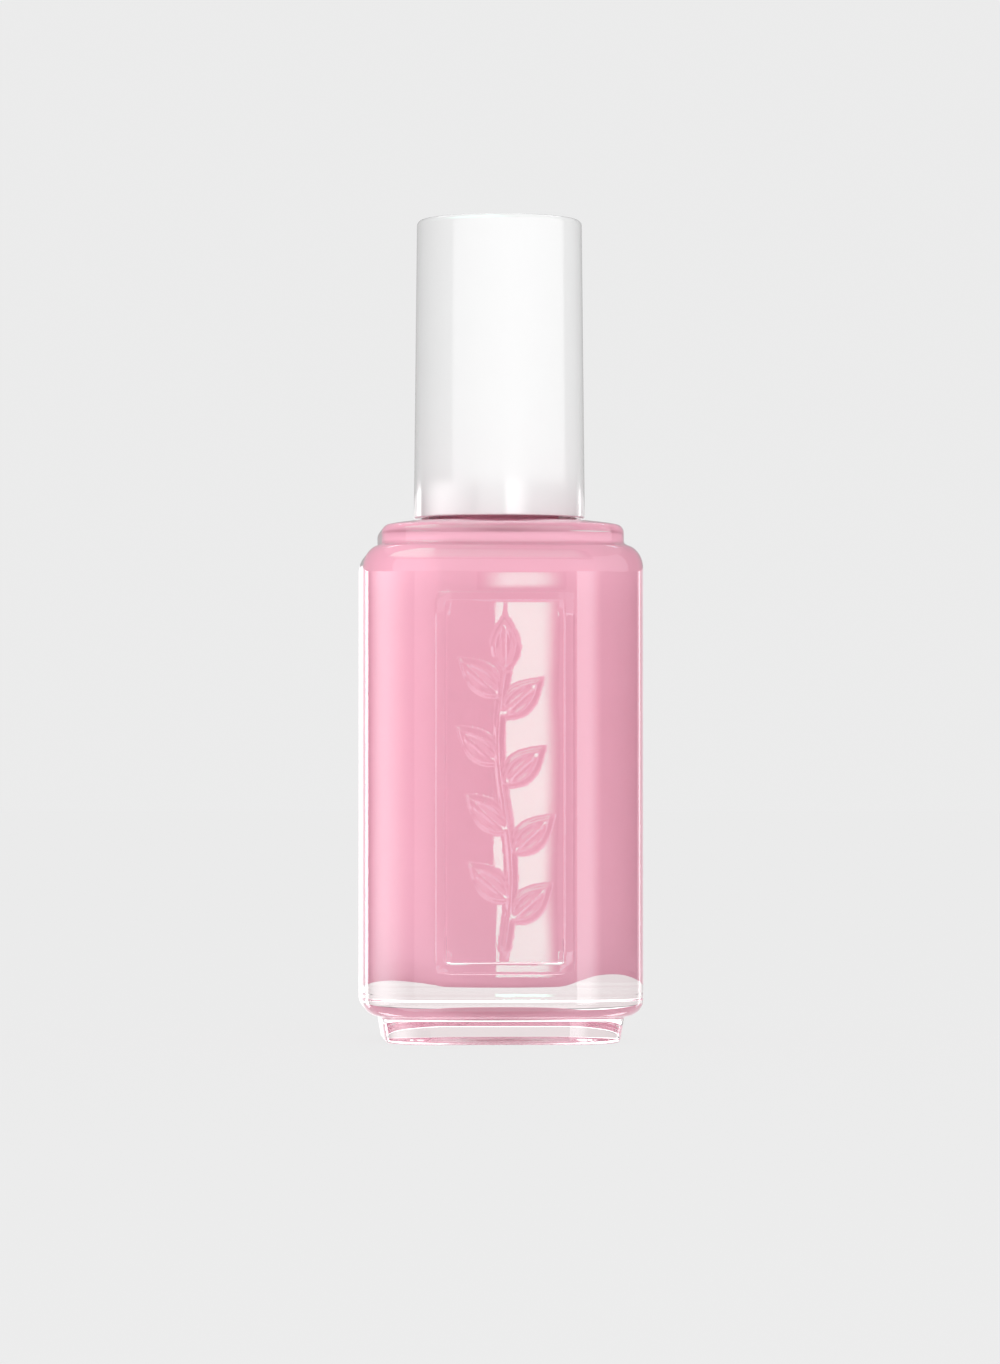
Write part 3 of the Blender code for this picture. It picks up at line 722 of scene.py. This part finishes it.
def add_filament(bm, number):
    """One filament, from its root in the stem's socket to its tip near the tuft's dome."""
    share = math.sqrt((number + 0.5) / FILAMENTS)
    tip = TUFT_TIP + TUFT_DOME * (1 - math.sqrt(1 - TUFT_DOME_SHARE * share ** 2))
    tip += FILAMENT_SCATTER * math.sin(number * SCATTER_PHASE)
    rings = []
    for height in np.linspace(TUFT_TOP, tip, FILAMENT_RINGS):
        near_tip = smooth_step((TUFT_TIP + TUFT_CLOSING_LENGTH - height) / TUFT_CLOSING_LENGTH)
        free = smooth_step((STEM_END - height) / FILAMENT_FREE)
        radius = (tuft_radius(height) - FILAMENT_RADIUS) * share * (1 - TUFT_CLOSING * near_tip)
        angle = number * GOLDEN_ANGLE + FILAMENT_LEAN * math.sin(number * LEAN_PHASE) * free
        centre = (radius * math.cos(angle), radius * math.sin(angle))
        ring = circle_ring(FILAMENT_RADIUS, FILAMENT_SIDES, number) + centre
        rings.append([bm.verts.new((x, y, height)) for x, y in ring])
    for one, two in zip(rings, rings[1:]):
        for index in range(FILAMENT_SIDES):
            after = (index + 1) % FILAMENT_SIDES
            bm.faces.new((one[index], one[after], two[after], two[index]))
    bm.faces.new(rings[0])
    bm.faces.new(rings[-1])


def make_tuft():
    """Nylon filaments, evenly spread over the tuft's section, with tips that end near a dome."""
    bm = bmesh.new()
    for number in range(FILAMENTS):
        add_filament(bm, number)
    tuft = finished("bristle_tuft", bm)
    placed(tuft, "applicator", "brush_bristles", tuft_material())


def make_staple():
    """The steel staple that holds the filaments, with its edges eased."""
    bm = block(*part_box("tuft_anchor"))
    bmesh.ops.bevel(
        bm, geom=bm.edges[:], offset=STAPLE_EDGE, segments=2, profile=0.5, affect="EDGES"
    )
    placed(finished("tuft_staple", bm), "applicator", "tuft_anchor", steel_material())


def placed(piece, body, node, finish):
    """Gives a piece its material, the body it rides on and the node that it stands for."""
    piece.data.materials.clear()
    piece.data.materials.append(finish)
    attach(piece, body)
    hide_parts(node)


# Materials

def material(name, **values):
    """A Principled material and a function that adds a node and sets its inputs."""
    made = bpy.data.materials.new(name)
    made.use_nodes = True
    tree = made.node_tree
    shader = tree.nodes["Principled BSDF"]
    for key, value in values.items():
        shader.inputs[key.replace("_", " ")].default_value = value

    def add(kind, inputs=None, **settings):
        node = tree.nodes.new(kind)
        for key, value in settings.items():
            setattr(node, key, value)
        for key, value in (inputs or {}).items():
            if isinstance(value, bpy.types.NodeSocket):
                tree.links.new(value, node.inputs[key])
            else:
                node.inputs[key].default_value = value
        return node

    def wire(socket, key):
        tree.links.new(socket, shader.inputs[key])

    return made, add, wire


def object_noise(add, scale, detail=2.0, stretch=(1, 1, 1)):
    """Noise in the piece's own space. Scale is in features per metre."""
    place = add("ShaderNodeTexCoord").outputs["Object"]
    mapped = add("ShaderNodeMapping", {"Vector": place, "Scale": stretch}).outputs["Vector"]
    noise = add("ShaderNodeTexNoise", {"Vector": mapped, "Scale": scale, "Detail": detail})
    return noise.outputs["Fac"]


def ranged(add, value, low, high, source=(0.3, 0.7)):
    """The value mapped from the source range to run from low to high."""
    node = add("ShaderNodeMapRange", {
        "Value": value,
        "From Min": source[0],
        "From Max": source[1],
        "To Min": low,
        "To Max": high,
    })
    return node.outputs["Result"]


def blended(add, share, one, two):
    """A colour from one to two by share."""
    node = add("ShaderNodeMix", data_type="RGBA")
    for index, value in ((0, share), (6, one), (7, two)):
        if isinstance(value, bpy.types.NodeSocket):
            node.id_data.links.new(value, node.inputs[index])
        else:
            node.inputs[index].default_value = value if index == 0 else (*value, 1.0)
    return node.outputs[2]


def bumped(add, wire, height, distance):
    """Tilts the shading normal over a height of 0 to 1 that spans the given distance."""
    node = add("ShaderNodeBump", {"Height": height, "Distance": distance, "Strength": 1.0})
    wire(node.outputs["Normal"], "Normal")


def glass_material():
    """Pressed clear glass: faint mould waves and a hint of wear in its polish."""
    made, add, wire = material(
        "clear_glass", Base_Color=(0.985, 0.99, 0.988, 1), Transmission_Weight=1.0, IOR=1.5,
    )
    wire(ranged(add, object_noise(add, 900, 4), 0.0, 0.015), "Roughness")
    bumped(add, wire, object_noise(add, 110, 1), 0.004 * MM)
    return made


def lacquer_material():
    """Opaque creamy lacquer with the faint marbling of settled pigment."""
    made, add, wire = material("pink_lacquer", Specular_IOR_Level=0.0, Roughness=0.5)
    marbling = object_noise(add, 220, 3, (1, 1, 0.4))
    wire(blended(add, marbling, (0.985, 0.48, 0.615), (0.995, 0.50, 0.635)), "Base Color")
    return made


def cap_material():
    """Glossy white moulded plastic with a slight mould haze."""
    made, add, wire = material(
        "white_cap_plastic", Coat_Weight=0.35, Coat_Roughness=0.08, Specular_IOR_Level=0.5,
    )
    haze = object_noise(add, 300, 3)
    wire(blended(add, haze, (0.86, 0.86, 0.86), (0.88, 0.88, 0.88)), "Base Color")
    wire(ranged(add, object_noise(add, 1500, 3), 0.13, 0.16), "Roughness")
    bumped(add, wire, object_noise(add, 1200, 2), 0.0003 * MM)
    return made


def liner_material(name, wet):
    """Satin natural polyethylene. A wet one carries a film of lacquer up to the fill line."""
    made, add, wire = material(name, Subsurface_Weight=0.15, Subsurface_Scale=0.6 * MM)
    grain = object_noise(add, 700, 3)
    plastic = blended(add, grain, (0.76, 0.75, 0.71), (0.80, 0.79, 0.755))
    if wet:
        place = add("ShaderNodeTexCoord").outputs["Object"]
        height = add("ShaderNodeSeparateXYZ", {"Vector": place}).outputs["Z"]
        edge = ranged(add, object_noise(add, 500, 2, (1, 1, 0.15)), -1.2 * MM, 1.2 * MM)
        level = add("ShaderNodeMath", {0: height, 1: edge}, operation="ADD").outputs[0]
        film = ranged(add, level, 1.0, 0.0, (LIQUID_TOP - 0.2 * MM, LIQUID_TOP + 0.2 * MM))
        plastic = blended(add, film, plastic, (0.86, 0.43, 0.54))
        wire(ranged(add, film, 0.42, 0.12, (0, 1)), "Roughness")
    else:
        wire(ranged(add, grain, 0.36, 0.48), "Roughness")
    wire(plastic, "Base Color")
    bumped(add, wire, object_noise(add, 3500, 2), 0.003 * MM)
    return made


def seal_material():
    """Soft foam ring with fine cells."""
    made, add, wire = material("seal_foam", Roughness=0.62)
    cells = add("ShaderNodeTexVoronoi", {
        "Vector": add("ShaderNodeTexCoord").outputs["Object"], "Scale": 7000.0,
    }).outputs["Distance"]
    wire(blended(add, cells, (0.70, 0.70, 0.67), (0.80, 0.80, 0.77)), "Base Color")
    bumped(add, wire, cells, 0.02 * MM)
    return made


def tuft_material():
    """Dark nylon under a wet, streaky coat of lacquer."""
    made, add, wire = material("wet_nylon", Coat_Weight=0.8, Coat_Roughness=0.08, Roughness=0.3)
    streaks = object_noise(add, 4200, 3, (1, 1, 0.06))
    coat = ranged(add, streaks, 0.35, 1.0, (0.35, 0.55))
    wire(blended(add, coat, (0.30, 0.12, 0.16), (0.86, 0.43, 0.54)), "Base Color")
    bumped(add, wire, streaks, 0.03 * MM)
    return made


def steel_material():
    """Polished steel with a faint grain."""
    made, add, wire = material("steel", Metallic=1.0)
    grain = object_noise(add, 2500, 4)
    wire(blended(add, grain, (0.56, 0.56, 0.58), (0.66, 0.66, 0.68)), "Base Color")
    wire(ranged(add, grain, 0.12, 0.24), "Roughness")
    return made


def label_material():
    """Blank satin film with one thin printed ring near its edge."""
    made, add, wire = material("label_paper")
    place = add("ShaderNodeTexCoord").outputs["Object"]
    flat = add("ShaderNodeMapping", {"Vector": place, "Scale": (1, 1, 0)}).outputs["Vector"]
    reach = add("ShaderNodeVectorMath", {0: flat}, operation="LENGTH").outputs["Value"]
    from_ring = add("ShaderNodeMath", {0: reach, 1: LABEL_RADIUS * LABEL_RING}, operation="SUBTRACT")
    off = add("ShaderNodeMath", {0: from_ring.outputs[0]}, operation="ABSOLUTE").outputs[0]
    ring = ranged(add, off, 1.0, 0.0, (0.09 * MM, 0.13 * MM))
    fibres = object_noise(add, 5000, 4)
    paper = blended(add, fibres, (0.84, 0.84, 0.82), (0.88, 0.88, 0.86))
    wire(blended(add, ring, paper, (0.80, 0.42, 0.52)), "Base Color")
    wire(ranged(add, fibres, 0.40, 0.52), "Roughness")
    bumped(add, wire, fibres, 0.004 * MM)
    return made


# Studio

def emitter(name, colour, strength):
    """An emission material, its tree and its emission node."""
    made = bpy.data.materials.new(name)
    made.use_nodes = True
    tree = made.node_tree
    tree.nodes.clear()
    light = tree.nodes.new("ShaderNodeEmission")
    light.inputs["Color"].default_value = (*colour, 1.0)
    light.inputs["Strength"].default_value = strength
    output = tree.nodes.new("ShaderNodeOutputMaterial")
    tree.links.new(light.outputs[0], output.inputs["Surface"])
    return made, tree, light


def lights_only(panel, kind):
    """Limits what a panel lights: gloss (reflections), glass (what is in it) or matt."""
    panel.visible_camera = False
    panel.visible_glossy = kind == "gloss"
    panel.visible_transmission = kind == "glass"
    panel.visible_diffuse = kind == "matt"


def card_mesh(name, turn, lift):
    """A grid on a sphere round the bottle, with a UV map that runs from 0 to 1 over it."""
    bm = bmesh.new()
    wrap = bm.loops.layers.uv.new("across")
    grid = []
    for row in range(CARD_ROWS + 1):
        rise = math.radians(lift[0] + (lift[1] - lift[0]) * row / CARD_ROWS)
        flat = CARD_RADIUS * math.cos(rise)
        height = CARD_RADIUS * math.sin(rise)
        points = []
        for column in range(CARD_COLUMNS + 1):
            angle = math.radians(turn[0] + (turn[1] - turn[0]) * column / CARD_COLUMNS)
            points.append(bm.verts.new((flat * math.sin(angle), -flat * math.cos(angle), height)))
        grid.append(points)
    for row in range(CARD_ROWS):
        for column in range(CARD_COLUMNS):
            corners = ((column, row), (column + 1, row), (column + 1, row + 1), (column, row + 1))
            face = bm.faces.new([grid[up][along] for along, up in corners])
            for loop, (along, up) in zip(face.loops, corners):
                loop[wrap].uv = (along / CARD_COLUMNS, up / CARD_ROWS)
    return mesh_of(name, bm)


def softbox(name, kind, turn, lift, strength, fade=(0.0, 0.0, 0.0, 0.0), colour=(1, 1, 1)):
    """A panel on a sphere round the bottle, from turn[0] to turn[1] degrees about Z, where 0
    is in front, and from lift[0] to lift[1] degrees of elevation. Its light fades in over
    the given shares of its size from its left, right, lower and upper edges."""
    mesh = card_mesh(name, turn, lift)
    finish, tree, light = emitter(name, colour, strength)
    place = tree.nodes.new("ShaderNodeUVMap")
    split = tree.nodes.new("ShaderNodeSeparateXYZ")
    tree.links.new(place.outputs["UV"], split.inputs[0])
    left, right, low, high = fade
    level = strength
    for axis, edge, start, end in (
        ("X", left, 0.0, left),
        ("X", right, 1.0, 1 - right),
        ("Y", low, 0.0, low),
        ("Y", high, 1.0, 1 - high),
    ):
        if edge:
            level = faded(tree, split.outputs[axis], start, end, level)
    if any(fade):
        tree.links.new(level, light.inputs["Strength"])
    mesh.materials.append(finish)
    panel = linked(name, mesh)
    panel.location.z = CARD_CENTRE
    lights_only(panel, kind)


def faded(tree, place, start, end, level):
    """The level times an S-curve that is 0 where place is start and 1 where it is end."""
    curve = tree.nodes.new("ShaderNodeMapRange")
    curve.interpolation_type = "SMOOTHSTEP"
    low, high, lit, dark = (start, end, 1.0, 0.0) if start < end else (end, start, 0.0, 1.0)
    curve.inputs["From Min"].default_value = low
    curve.inputs["From Max"].default_value = high
    curve.inputs["To Min"].default_value = dark
    curve.inputs["To Max"].default_value = lit
    tree.links.new(place, curve.inputs["Value"])
    product = tree.nodes.new("ShaderNodeMath")
    product.operation = "MULTIPLY"
    tree.links.new(curve.outputs["Result"], product.inputs[0])
    if isinstance(level, float):
        product.inputs[1].default_value = level
    else:
        tree.links.new(level, product.inputs[1])
    return product.outputs[0]


def make_tent():
    """A bright tent round the studio that shines into the glass and the lacquer only."""
    bm = bmesh.new()
    bmesh.ops.create_icosphere(bm, subdivisions=3, radius=TENT_RADIUS)
    mesh = mesh_of("light_tent", bm)
    mesh.materials.append(emitter("light_tent", TENT_COLOUR, TENT_LEVEL)[0])
    lights_only(linked("light_tent", mesh), "glass")


def make_floor():
    """A pale table that glows like the backdrop, so that it has no horizon and hardly a shadow."""
    bm = bmesh.new()
    bmesh.ops.create_circle(bm, cap_ends=True, segments=64, radius=FLOOR_RADIUS)
    mesh = mesh_of("studio_floor", bm)
    finish, tree, light = emitter("studio_floor", (1, 1, 1), BACKDROP * (1 - FLOOR_SHARE))
    surface = tree.nodes.new("ShaderNodeBsdfDiffuse")
    surface.inputs["Color"].default_value = (FLOOR_ALBEDO,) * 3 + (1,)
    total = tree.nodes.new("ShaderNodeAddShader")
    tree.links.new(light.outputs[0], total.inputs[0])
    tree.links.new(surface.outputs[0], total.inputs[1])
    output = next(node for node in tree.nodes if node.type == "OUTPUT_MATERIAL")
    tree.links.new(total.outputs[0], output.inputs["Surface"])
    mesh.materials.append(finish)
    floor = linked("studio_floor", mesh)
    floor.visible_glossy = False
    floor.visible_transmission = False


def make_world():
    """A plain pale backdrop all round."""
    world = bpy.data.worlds.new("studio")
    world.use_nodes = True
    back = world.node_tree.nodes["Background"]
    back.inputs["Color"].default_value = (1, 1, 1, 1)
    back.inputs["Strength"].default_value = BACKDROP
    bpy.context.scene.world = world
    bpy.context.scene.view_settings.view_transform = "Standard"


def allow_deep_bounces():
    """Light crosses the glass and turns back in the lacquer many times before it leaves."""
    cycles = bpy.context.scene.cycles
    cycles.max_bounces = 24
    cycles.diffuse_bounces = 10
    cycles.glossy_bounces = 12
    cycles.transmission_bounces = 24


def make_lights():
    """The cap's panels, then those that the glass reflects, then those that light its inside."""
    softbox("cap_key", "matt", (-25, 40), (2, 50), 2.6, (0.3, 0.3, 0.0, 0.0))
    softbox("cap_bank", "gloss", (-72, 102), CAP_LIFT, 1.8, (0.02, 0.05, 0.0, 0.0))
    softbox("cap_shade_left", "gloss", (-181, -72), CAP_LIFT, 0.45)
    softbox("cap_shade_right", "gloss", (102, 179), CAP_LIFT, 0.4)
    softbox("brow_light", "gloss", (-100, 30), (30, 90), 5.0, (0.1, 0.4, 0.25, 0.0), VEIL)
    softbox("under_light", "gloss", (-85, 50), (-75, -22), 3.0, (0.1, 0.3, 0.0, 0.15))
    softbox("left_side", "gloss", (-181, -150), BODY_LIFT, 1.2)
    softbox("left_rim", "gloss", (-150, -133), BODY_LIFT, 4.2, (0.1, 0.2, 0.0, 0.0))
    softbox("left_stripe", "gloss", (-133, -30), BODY_LIFT, 4.2, (0.45, 0.55, 0.0, 0.0))
    softbox("upper_glow", "gloss", (2.55, 3.95), GLOW_LIFT, 8.5, (0.35, 0.35, 0.25, 0.6), VEIL)
    softbox("front_strip", "gloss", (2.83, 3.85), STRIP_LIFT, 10.5, (0.0, 0.3, 0.0, 0.0), VEIL)
    softbox("right_stripe", "gloss", (4.6, 45), BODY_LIFT, 4.3, (0.03, 0.7, 0.0, 0.0))
    softbox("right_shade", "gloss", (45, 124), BODY_LIFT, 0.1)
    softbox("right_fade", "gloss", (124, 133), BODY_LIFT, 1.0, (0.4, 0.0, 0.0, 0.0))
    softbox("right_line", "gloss", (133, 140), BODY_LIFT, 3.0)
    softbox("right_edge", "gloss", (140, 179), BODY_LIFT, 0.9)
    softbox("ledge_light", "gloss", (140, 215), (32, 48), 4.0, (0.1, 0.1, 0.2, 0.2))
    softbox("sill_light", "gloss", (140, 215), (-50, -34), 3.5, (0.1, 0.1, 0.2, 0.2))
    softbox("glass_key", "glass", (-120, 65), (-20, 60), 2.0, (0.2, 0.3, 0.0, 0.1))
    softbox("glass_side", "glass", (65, 120), (-20, 60), 1.65, (0.2, 0.3, 0.0, 0.1))
    softbox("glass_back", "glass", (120, 240), (9, 60), 2.4, (0.1, 0.1, 0.1, 0.1))
    softbox("glass_top", "glass", (-180, 180), (60, 90), 1.4)
    softbox("glass_under", "glass", (-180, 180), (-90, -28), 1.15, (0.0, 0.0, 0.0, 0.2))


def make_camera():
    """The camera looks at the bottle from a little to one side of its front."""
    data = bpy.data.cameras.new("camera")
    data.lens = LENS
    data.sensor_width = SENSOR
    camera = bpy.data.objects.new("camera", data)
    across = CAMERA_DISTANCE * math.sin(CAMERA_TURN) + CAMERA_SIDE * math.cos(CAMERA_TURN)
    back = -CAMERA_DISTANCE * math.cos(CAMERA_TURN) + CAMERA_SIDE * math.sin(CAMERA_TURN)
    camera.location = (across, back, CAMERA_HEIGHT)
    camera.rotation_euler = (math.pi / 2 + CAMERA_PITCH, 0.0, CAMERA_TURN)
    bpy.context.scene.collection.objects.link(camera)
    bpy.context.scene.camera = camera


allow_deep_bounces()
make_glass()
make_lacquer()
make_balls()
make_label()
make_cap()
make_liner()
make_seal()
make_stem()
make_tuft()
make_staple()
make_floor()
make_world()
make_tent()
make_lights()
make_camera()
